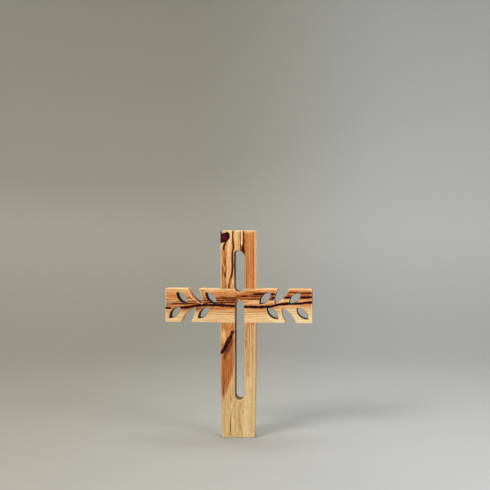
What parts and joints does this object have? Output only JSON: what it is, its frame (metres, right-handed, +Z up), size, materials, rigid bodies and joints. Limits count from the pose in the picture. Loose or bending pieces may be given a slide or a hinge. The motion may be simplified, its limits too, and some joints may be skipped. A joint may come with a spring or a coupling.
{
  "type": "pierced wooden cross",
  "caption": "Small standing cross of halved olive wood boards, with rounded slots sawn through the upright and an olive sprig pierced through the arms of the crossbar.",
  "frame": {"origin": "middle of the square-cut foot, on the surface it stands on", "axes": "+Z up the upright, +X along the crossbar to the right as seen from the front, +Y out of the back; the front faces -Y"},
  "size_m": [0.145, 0.016, 0.203],
  "materials": {
    "upright_wood": "oiled and rubbed to a low sheen, grain upright, honey tan with a red-brown zone, dark streaks and a near-black knot",
    "crossbar_wood": "oiled and rubbed to a low sheen, grain level, orange tan with dark brown lines above and pale cream sapwood below"
  },
  "bodies": {
    "root": {"upright": "upright_wood", "crossbar": "crossbar_wood"}
  },
  "joints": []
}
